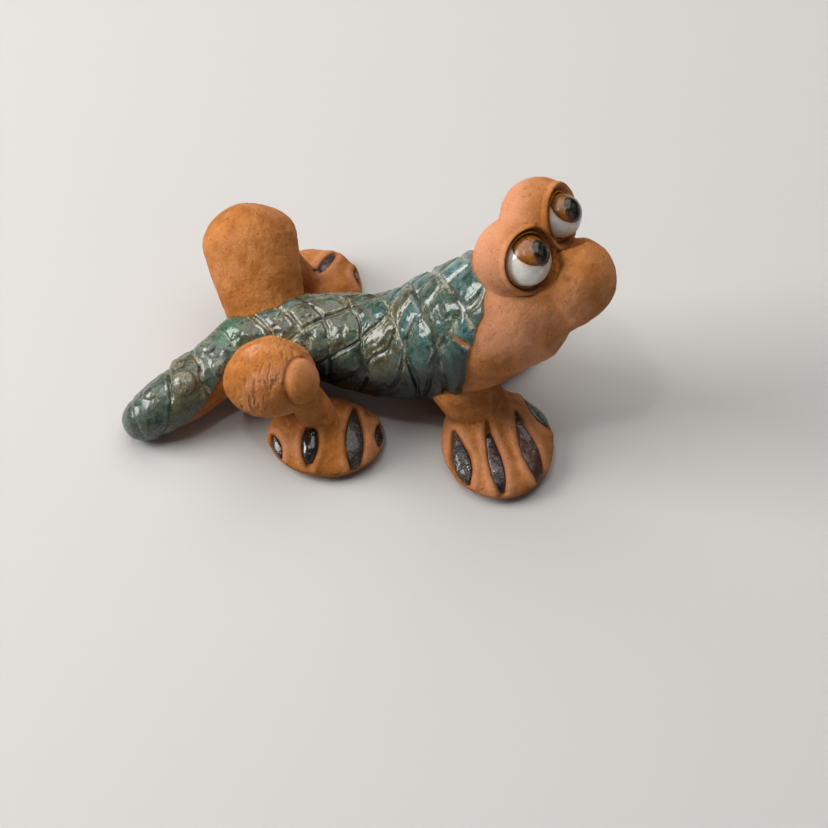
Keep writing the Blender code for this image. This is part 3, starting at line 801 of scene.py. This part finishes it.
def buildMound(side, paint):
    place = mounds[side]
    other = mounds["left" if side == "right" else "right"]
    axis, first, second = axesOn(eyeValues["gazes"][side])
    profile, free = moundProfile(side)
    turn = np.arange(216) * 2 * pi / 216
    spoke = np.outer(np.cos(turn), first) + np.outer(np.sin(turn), second)
    points = place + profile[:, None, 1:] * axis + profile[:, None, :1] * spoke
    outward = unit(points - place)
    away = np.linalg.norm(points - other, axis=-1) - eyeValues["moundRadius"]
    rise = fillet(np.maximum(bodyDistance(points), 0), eyeValues["seam"]) + fillet(np.maximum(away, 0), 1.2)
    height = (rise + clayHeight(points, 7) * 0.7) * free[:, None]
    if side == "left":
        height = height - clearing(points, "right")
    # by row of the profile: the lip is lumpy at its top, the back is pinker as painted light, and the fold by
    # the ball and the bowl under it get painted shade
    rows = np.arange(len(profile))[:, None] + np.zeros((1, len(turn)))
    height = height + 0.08 * hump(rows - 134, 12) * lumps(points, 1.6, 91)
    creaseShade = 0.8 * hump(rows - 147, 5) + smoothStep(160, 168, rows) * 0.6
    marks = {"pinkAndLit": free[:, None] * hump(rows - 60, 50), "creaseShade": creaseShade}
    skin = closedSkin(side + "EyeMound", points + outward * height[..., None], paint, marks)
    fit(skin, side + "_eye_mound")


def ballPatch(centre, size, axis, hint, halfLong, halfWide, count, sides, heightAt):
    # A patch of a ball: the share from its middle to its edge is squeezed into an oval of the two half
    # angles, raised by heightAt of the share, and closed by the same oval a little inside the ball.
    axis, first, second = axesOn(axis, hint)
    share = np.sin(np.linspace(0, pi / 2, count + 1)[1:])
    share = np.concatenate([share, share[::-1]])
    under = np.arange(2 * count) >= count
    turn = np.arange(sides) * 2 * pi / sides
    lean = share[:, None] * np.hypot(halfLong * np.cos(turn), halfWide * np.sin(turn))
    spoke = unit(np.outer(halfLong * np.cos(turn), first) + np.outer(halfWide * np.sin(turn), second))
    direction = np.cos(lean)[..., None] * axis + np.sin(lean)[..., None] * spoke
    radius = size + np.where(under, -0.12, heightAt(share))
    return centre + direction * radius[:, None, None], share, turn


def buildEye(side, paints):
    centre = ballPlace(side)
    irisAxis = unit(np.array(eyeValues["irisAxes"][side]))
    axis, first, second = axesOn(irisAxis)
    lean, turn = ballGrid(96, 144)
    direction = (
        np.cos(lean)[..., None] * axis
        + (np.sin(lean) * np.cos(turn))[..., None] * first
        + (np.sin(lean) * np.sin(turn))[..., None] * second
    )
    size = eyeValues["ballRadius"][side]
    ball = centre + direction * size
    ball = ball + direction * (0.03 * lumps(ball, 1.3, 13))[..., None]
    blush = hump(np.degrees(lean) - eyeValues["irisAngle"][side], 7) * 0.5
    skin = closedSkin(side + "Eyeball", ball, paints["white"], {"blush": blush})
    fit(skin, side + "_eyeball")

    spread = radians(eyeValues["irisAngle"][side])
    thick = eyeValues["irisThickness"]
    points, share, turn = ballPatch(
        centre, size, irisAxis, (0, 0.83, 0.56), spread, spread, 40, 144, lambda s: thick * (1 - s**6) + 0.02
    )
    points = centre + (points - centre) * (1 + 0.0036 * lumps(points, 1.1, 29))[..., None]
    rim = np.repeat(hump(share - 1, 0.16)[:, None], len(turn), axis=1)
    fit(closedSkin(side + "Iris", points, paints["amber"], {"rim": rim}), side + "_iris")

    reach = size + thick
    halfLong, halfWide = eyeValues["pupilHalfLength"] / reach, eyeValues["pupilHalfWidth"] / reach
    high = eyeValues["pupilHeight"]
    points, share, turn = ballPatch(
        centre, size, eyeValues["pupilAxes"][side], (0.06, 0.83, 0.56), halfLong, halfWide, 26, 72,
        lambda s: thick * 0.6 + high * np.sqrt(np.clip(1 - s**2.2, 0, 1)),
    )
    lower = smoothStep(0.2, -0.8, np.cos(turn))[None, :]
    rim = hump(share - 1, 0.18)[:, None] * (0.2 + 0.8 * lower)
    fit(closedSkin(side + "Pupil", points, paints["pupil"], {"rim": rim}), side + "_pupil")


# the legs

legValues = {
    "right": {
        "sign": -1, "hipOut": -1.2, "hipUp": -0.9,
        "kneeBack": 0.6, "kneeOut": 4.1, "kneeUp": 4.3, "kneeSize": 1.0,
        "footForward": 4.7, "footOut": 6.2, "footTurn": -10, "shinTop": (2.85, 1.25, 1.2), "shinAhead": 0.7,
        "padGrow": (0.5, 0.0), "kneeSwell": -0.08, "slope": 0.0, "marked": 1.0,
        "frontForward": 5.6, "frontOut": 7.2, "frontTurn": 16, "ankle": -0.15,
    },
    "left": {
        "sign": 1, "hipOut": -1.6, "hipUp": 1.0,
        "kneeBack": 1.2, "kneeOut": 5.3, "kneeUp": 5.5, "kneeSize": 1.06,
        "footForward": 4.7, "footOut": 5.5, "footTurn": -10, "shinTop": (2.2, 0.4, -0.3), "shinAhead": 0.2,
        "padGrow": (0.0, 0.8), "kneeSwell": 0.1, "slope": 0.45, "marked": 0.35,
        "frontForward": 1.8, "frontOut": 8.4, "frontTurn": 10, "ankle": 0.0,
    },
}
jointValues = {
    "hipStation": 4.25, "hipTurn": 6, "chestStation": 7.8, "chestTurn": -12,
    "kneeLength": 5.1, "kneeRadius": 4.15, "rootWidth": 3.9, "rootRadius": 3.3,
    "shinRadius": 2.35, "frontRadius": 3.6, "frontHeight": 2.5, "frontForward": 0.7,
    "shoulder": (0.75, 0.55, 0.37), "lobeMargin": 0.2, "lobeHeight": 0.55,
}
padValues = {
    "hind": (12.2, 10.2), "front": (12.2, 13.7), "rim": 1.2, "thickness": 3.3, "belly": 1.6,
    "rows": 250, "sides": 300,
}
up3 = np.array([0.0, 0.0, 1.0])


def levelFrame(station, turn, sign):
    # the body's middle and half width there, and level forward and outward directions
    centre, width = rollFrame(body, np.array(station))[:2]
    forward = headingVector(turn, 0)
    return centre, width, forward, np.array([-forward[1], forward[0], 0.0]) * sign


def kneePlace(side):
    leg = legValues[side]
    hip, radius, forward, out = levelFrame(jointValues["hipStation"], jointValues["hipTurn"], leg["sign"])
    root = hip + out * (radius + leg["hipOut"]) + up3 * leg["hipUp"]
    knee = hip - forward * leg["kneeBack"] + out * (radius + leg["kneeOut"]) + up3 * leg["kneeUp"]
    return hip, radius, forward, out, root, knee


def shinTop(side):
    # the shin's round top, which stands a little out of the near knee: forward, outward and up
    _, _, forward, out, _, knee = kneePlace(side)
    ahead, away, above = legValues[side]["shinTop"]
    return knee + forward * ahead + out * away + up3 * above


def buildThigh(side, paint):
    # a fat egg: the half width and half height grow with the square root of the way to the knee
    root, knee = kneePlace(side)[4:]
    size = legValues[side]["kneeSize"]
    share = np.linspace(0, 1, 7)
    line = curveThrough([root, (root + knee) / 2, knee], share * 2)
    rootWidth, rootHeight = jointValues["rootWidth"], jointValues["rootRadius"]
    width = rootWidth + (jointValues["kneeLength"] * size - rootWidth) * np.sqrt(share)
    height = rootHeight + (jointValues["kneeRadius"] * size - rootHeight) * np.sqrt(share)
    rows = np.column_stack([line, width, height])
    stations, angles = rollGrid(rows, 190, 240)
    points, outward = rollSkin(rows, stations, angles)
    scratch = lumps(points * (2.4, 0.9, 0.6), 0.9, 43, 3)
    marked = legValues[side]["marked"]
    relief = clayHeight(points, 20) * 0.8 - 0.12 * marked * smoothStep(0.1, 0.8, scratch)
    relief = relief + legValues[side]["kneeSwell"]
    relief = relief + fillet(np.maximum(bodyDistance(points), 0), 1.0)
    # the left thigh's front shoulder slopes off
    shoulder = unit(np.array(jointValues["shoulder"]))
    relief = relief - legValues[side]["slope"] * smoothStep(0.3, 1.0, np.sum(outward * shoulder, axis=-1))
    # the shin's round top shows through as a lobe: how far each ray runs before it leaves that ball
    lobeRadius, lobeHeight = jointValues["shinRadius"] + jointValues["lobeMargin"], jointValues["lobeHeight"]
    inward = shinTop(side) - points
    nearest = np.sum(inward * outward, axis=-1)
    room = nearest**2 - np.sum(inward**2, axis=-1) + lobeRadius**2
    lobe = np.where(room > 0, nearest + np.sqrt(np.maximum(room, 0)), -9)
    fold = hump(lobe - relief, 0.26) * marked
    lobe = np.where(lobe > 0, lobeHeight * np.tanh(lobe / lobeHeight), lobe)
    relief = np.maximum(relief, lobe) - 0.14 * fold
    # painted shade in the scratches and in the fold round the lobe
    creaseShade = np.maximum(0.25 * marked * smoothStep(0.5, 1.0, scratch), 0.5 * fold)
    marks = {"pinkAndLit": smoothStep(0.1, 0.7, lumps(points, 3.0, 47)), "creaseShade": creaseShade}
    points = points + outward * relief[..., None]
    fit(closedSkin(side + "Thigh", points, paint, marks), side + "_thigh")


class Foot:
    # a paddle foot with a leg standing on it, as one skin round blended shapes
    def __init__(self, centre, forward, out, turn, size, legPath, legRadii, blend):
        turn = radians(turn)
        self.ahead = out * np.cos(turn) + forward * np.sin(turn)
        self.across = forward * np.cos(turn) - out * np.sin(turn)
        self.centre = np.array([centre[0], centre[1], 0.0])
        self.half = np.array(size) / 2
        self.path, self.radii, self.blend = legPath, legRadii, blend

    def flat(self, points):
        # millimetres across and ahead from the pad's middle
        away = points - self.centre
        return away @ self.across, away @ self.ahead

    def distance(self, points):
        # The pad is where (share from the middle)^2.4 + (height share)^2 is 1, with a deeper underside.
        # Each length of leg is the distance to a line less its radius, and a smooth minimum joins them.
        x, y = self.flat(points)
        share = np.hypot(x / self.half[0], y / self.half[1])
        rise = points[..., 2] - padValues["rim"]
        tall = np.where(rise > 0, padValues["thickness"] - padValues["rim"], padValues["belly"])
        level = np.sqrt(share**2.4 + (rise / tall) ** 2) + 1e-9
        away = np.sqrt(x**2 + y**2 + rise**2)
        found = away * (1 - 1 / level)
        for start, end, low, high in zip(self.path[:-1], self.path[1:], self.radii[:-1], self.radii[1:]):
            span = end - start
            t = np.clip((points - start) @ span / (span @ span), 0, 1)
            limb = np.linalg.norm(points - start - t[..., None] * span, axis=-1) - (low + (high - low) * t)
            near = np.clip(0.5 + 0.5 * (limb - found) / self.blend, 0, 1)
            found = limb + (found - limb) * near - self.blend * near * (1 - near)
        return found

    def slope(self, points):
        # the direction in which the distance grows fastest
        small = 0.02
        steps = np.eye(3) * small
        return unit(np.stack([self.distance(points + s) - self.distance(points - s) for s in steps], axis=-1))

    def cast(self, start, direction, near, far):
        # halves the way between a near point inside and a far one outside, along each ray
        shape = np.broadcast_shapes(start.shape, direction.shape)[:-1]
        low, high = np.full(shape, near), np.full(shape, far)
        for _ in range(26):
            middle = (low + high) / 2
            inside = self.distance(start + direction * middle[..., None]) < 0
            low, high = np.where(inside, middle, low), np.where(inside, high, middle)
        return start + direction * low[..., None]

    def onTop(self, x, y):
        # the highest point of the skin over a place on the pad, found from above
        start = self.centre + np.multiply.outer(x, self.across) + np.multiply.outer(y, self.ahead)
        return self.cast(start, up3, 0.8, 3.5)


# the grooves between the toes: where each starts and ends in shares of the pad's half width and half
# length, its width, how far the glaze in it bulges, and which glaze it is
toeGrooves = {
    "leftHind": [
        ((-0.90, 0.16), (-0.74, 0.66), 1.0, 0.16, "purple"),
        ((-0.33, -0.04), (-0.31, 0.82), 1.5, 0.30, "black"),
        ((0.11, -0.06), (0.65, 0.57), 0.95, 0.08, "purple"),
        ((0.93, -0.34), (0.95, 0.10), 0.7, 0.05, "brown"),
    ],
    "rightHind": [
        ((-0.90, 0.16), (-0.74, 0.66), 1.0, 0.16, "purple"),
        ((-0.24, -0.12), (-0.22, 0.82), 1.75, 0.55, "black"),
        ((0.47, -0.55), (0.56, 0.82), 2.0, 0.26, "speckled"),
        ((0.93, -0.34), (0.95, 0.20), 1.1, 0.16, "speckled"),
    ],
    "rightFront": [
        ((-0.78, -0.12), (-0.64, 0.74), 2.0, 0.30, "speckled"),
        ((-0.20, -0.12), (-0.02, 0.95), 1.5, 0.18, "purple"),
        ((0.34, -0.36), (0.67, 0.74), 1.9, 0.12, "brown"),
        ((0.53, -0.82), (0.92, -0.22), 1.7, 0.24, "grey"),
    ],
}
toeGrooves["leftFront"] = toeGrooves["rightFront"]


def grooveWidth(t, width):
    # a drop: half the width times the sine of the way along, bunched so that it is fattest near the toe
    return width / 2 * np.sin(pi * np.clip(t, 0.0, 1.0) ** 1.5) ** 0.6


def buildFoot(side, kind, foot, start, paints):
    name = side + ("HindFoot" if kind == "hind" else "FrontLeg")
    node = side + ("_hind_foot" if kind == "hind" else "_front_leg")
    share = np.linspace(0, 1, padValues["rows"] + 2)[1:-1]
    lean = pi * share**1.12
    turn = np.arange(padValues["sides"]) * 2 * pi / padValues["sides"]
    lean, turn = np.meshgrid(lean, turn, indexing="ij")
    wide, tall = foot.half, 3.2
    direction = unit(
        (np.sin(lean) * np.cos(turn) * wide[0])[..., None] * foot.across
        + (np.sin(lean) * np.sin(turn) * wide[1])[..., None] * foot.ahead
        + (np.cos(lean) * tall)[..., None] * up3
    )
    points = foot.cast(start, direction, 0.0, 16.0)
    outward = foot.slope(points)
    x, y = foot.flat(points)
    top = smoothStep(0.05, 0.5, outward[..., 2]) * smoothStep(5.2, 4.2, points[..., 2])
    relief = clayHeight(points, 33) * 0.9
    creaseShade, pinkAndLit = np.zeros(points.shape[:-1]), 0.6 * smoothStep(0.0, 0.8, lumps(points, 2.6, 57))
    for number, (begin, end, width, bulge, glaze) in enumerate(toeGrooves[side + kind.title()], 1):
        begin, end = np.array(begin) * foot.half, np.array(end) * foot.half
        span = end - begin
        t = ((x - begin[0]) * span[0] + (y - begin[1]) * span[1]) / (span @ span)
        held = np.clip(t, 0, 1)
        away = np.hypot(x - begin[0] - held * span[0], y - begin[1] - held * span[1])
        half = grooveWidth(0.06 + 0.88 * held, width) + 0.06
        inside = np.clip(1 - (away / half) ** 2, 0, 1)
        lip = hump(away - half - 0.45, 0.5)
        relief = relief + top * (0.17 * lip - 0.40 * np.sqrt(inside))
        # the lips beside a groove are pinker as painted light, and its edges get painted shade
        pinkAndLit = np.maximum(pinkAndLit, top * lip)
        fromEdge = np.maximum(half - away, 0) + np.maximum(away - half, 0) * 3
        creaseShade = np.maximum(creaseShade, top * hump(fromEdge, 0.4))
        buildBead(side, kind, number, foot, begin, end, width, bulge, paints[glaze])
    points = points + outward * relief[..., None]
    points[..., 2] = np.maximum(points[..., 2], 0)
    marks = {"pinkAndLit": pinkAndLit, "creaseShade": 0.45 * creaseShade}
    fit(closedSkin(name, points, paints["feet"], marks), node)


def buildBead(side, kind, number, foot, begin, end, width, bulge, paint):
    # glaze that has run into a groove: a leaf of rings across it, flat below and lumpy above
    t = (1 - np.cos(np.linspace(0, pi, 74)[1:-1])) / 2
    x, y = begin[0] + (end - begin)[0] * t, begin[1] + (end - begin)[1] * t
    line = foot.onTop(x, y)
    outward = foot.slope(line)
    along = unit(np.gradient(line, axis=0))
    sideways = np.cross(outward, along)
    half = grooveWidth(0.04 + 0.92 * t, width)
    turn = np.arange(40) * 2 * pi / 40
    swell = (half / half.max())[:, None]
    lift = np.where(np.sin(turn) > 0, bulge, 0.3) * np.sin(turn) * swell
    points = line[:, None] + half[:, None, None] * np.cos(turn)[None, :, None] * sideways[:, None]
    points = points + (lift - 0.12)[..., None] * outward[:, None]
    lumpy = 0.05 * lumps(points, 0.7, 61 + number) * (np.sin(turn) > 0)
    points = points + outward[:, None] * lumpy[..., None]
    piece = closedSkin(f"{side}{kind.title()}ToeGlaze{number}", points, paint)
    fit(piece, f"{side}_{kind}_toe_bead_{number}")


def buildHindFoot(side, paints):
    leg = legValues[side]
    hip, radius, forward, out, _, knee = kneePlace(side)
    wider, longer = leg["padGrow"]
    centre = hip + forward * (leg["footForward"] + wider / 2) + out * (radius + leg["footOut"])
    shin = jointValues["shinRadius"]
    wide, long = padValues["hind"]
    foot = Foot(centre, forward, out, leg["footTurn"], (wide + wider, long + longer), None, None, 1.3)
    ankle = foot.centre - foot.ahead * 0.05 * long + forward * leg["shinAhead"] + up3 * 1.4
    joint = knee + forward * (1.9 + leg["shinAhead"]) - out * 0.2 - up3 * 1.6
    foot.path, foot.radii = [joint, ankle], [shin * 0.9, shin * 0.82]
    buildFoot(side, "hind", foot, ankle, paints)


def buildFrontLeg(side, paints):
    leg = legValues[side]
    station, turn = jointValues["chestStation"], jointValues["chestTurn"]
    chest, radius, forward, out = levelFrame(station, turn, leg["sign"])
    centre = chest + forward * leg["frontForward"] + out * leg["frontOut"]
    thick = jointValues["frontRadius"]
    foot = Foot(centre, forward, out, leg["frontTurn"], padValues["front"], None, None, 2.2)
    ankle = foot.centre + foot.across * leg["ankle"] * foot.half[0]
    ankle = ankle - foot.ahead * 0.5 * foot.half[1] + up3 * 1.6
    joint = chest + forward * jointValues["frontForward"] + out * (thick + 0.3)
    joint = joint - up3 * (radius - jointValues["frontHeight"])
    foot.path, foot.radii = [joint, ankle], [thick * 0.95, thick * 0.92]
    buildFoot(side, "front", foot, ankle, paints)


# putting it together

paints = {
    "body": clayPaint("terracotta body", 0.7, 0.45),
    # the eye mounds get the most pink, painted light on their lit tops
    "mounds": clayPaint("terracotta eye mounds", 1.0, 0.3),
    "thighs": clayPaint("terracotta thighs", 0.4, 0.35),
    "feet": clayPaint("terracotta feet", 0.25, 0.8),
    "teal": backGlazePaint(),
    "white": eyeWhitePaint(),
    "amber": irisPaint(),
    "black": glossPaint("black toe glaze", (0.012, 0.012, 0.012), (0.05, 0.06, 0.065), 0.9, 0.3),
    "speckled": glossPaint(
        "speckled toe glaze", (0.016, 0.009, 0.005), (0.10, 0.060, 0.032), 0.3, 0.38, 0.2, 0.16
    ),
    "purple": glossPaint(
        "purple-brown toe glaze", (0.022, 0.009, 0.008), (0.085, 0.04, 0.05), 0.5, 0.4, 0.16, 0.12
    ),
    "brown": glossPaint(
        "red-brown toe glaze", (0.045, 0.013, 0.005), (0.11, 0.045, 0.016), 0.4, 0.4, 0.2, 0.12
    ),
    "grey": glossPaint("grey toe glaze", (0.022, 0.030, 0.024), (0.11, 0.12, 0.10), 0.5, 0.4, 0.16, 0.12),
    "pupil": pupilPaint(),
}
print("materials made")

buildBody(paints["body"])
print("body made")
buildBackGlaze(paints["teal"])
print("back glaze made")
for side in ("right", "left"):
    buildMound(side, paints["mounds"])
    buildEye(side, paints)
print("eyes made")
for side in ("right", "left"):
    buildThigh(side, paints["thighs"])
    buildHindFoot(side, paints)
    buildFrontLeg(side, paints)
print("legs made")


# floor, light and camera

stageValues = {
    "floorSize": 3.0, "floorTone": (0.47, 0.46, 0.45),
    "lookAt": (0.005425, -0.004636, 0.0), "distance": 0.3, "elevation": 56.1, "lens": 118.3,
    "key": ((-0.36, 0.02, 0.24), 0.24, 2.3, (1.0, 0.98, 0.96)),
    "fill": ((0.30, -0.30, 0.20), 0.30, 0.16, (0.93, 0.96, 1.0)),
    "top": ((0.0, 0.20, 0.42), 0.55, 2.4, (1.0, 0.98, 0.95)),
    "glint": ((-0.10, -0.05, 0.46), 0.03, 0.22, (1.0, 1.0, 1.0)),
    "world": (0.60, 0.63, 0.68), "worldStrength": 0.06,
}


def addFloor():
    size = stageValues["floorSize"] / 2
    mesh = bpy.data.meshes.new("floor")
    corners = [(-size, -size, 0), (size, -size, 0), (size, size, 0), (-size, size, 0)]
    mesh.from_pydata(corners, [], [(0, 1, 2, 3)])
    floor = bpy.data.objects.new("floor", mesh)
    bpy.context.scene.collection.objects.link(floor)
    paint = Paint("pale floor")
    paint.shader.inputs["Base Color"].default_value = (*stageValues["floorTone"], 1)
    paint.shader.inputs["Roughness"].default_value = 0.7
    mesh.materials.append(paint.material)


def addLight(name, place, size, power, tone):
    # a square soft light that faces the figure
    lamp = bpy.data.lights.new(name, "AREA")
    lamp.size, lamp.energy, lamp.color = size, power, tone
    light = bpy.data.objects.new(name, lamp)
    light.location = place
    away = np.array(place) - np.array(stageValues["lookAt"])
    level = np.hypot(away[0], away[1])
    light.rotation_euler = (np.arctan2(level, away[2]), 0, np.arctan2(away[0], -away[1]))
    bpy.context.scene.collection.objects.link(light)


def addCamera():
    lens = bpy.data.cameras.new("camera")
    lens.lens, lens.sensor_width, lens.clip_start = stageValues["lens"], 36, 0.01
    camera = bpy.data.objects.new("camera", lens)
    look, climb = np.array(stageValues["lookAt"]), radians(stageValues["elevation"])
    camera.location = look + stageValues["distance"] * np.array([0, -np.cos(climb), np.sin(climb)])
    camera.rotation_euler = (pi / 2 - climb, 0, 0)
    bpy.context.scene.collection.objects.link(camera)
    bpy.context.scene.camera = camera


addFloor()
for lightName in ("key", "fill", "top", "glint"):
    addLight(lightName, *stageValues[lightName])
addCamera()
world = bpy.data.worlds.new("studio")
world.use_nodes = True
world.node_tree.nodes["Background"].inputs["Color"].default_value = (*stageValues["world"], 1)
world.node_tree.nodes["Background"].inputs["Strength"].default_value = stageValues["worldStrength"]
bpy.context.scene.world = world
bpy.context.scene.view_settings.view_transform = "Standard"
print("stage made")
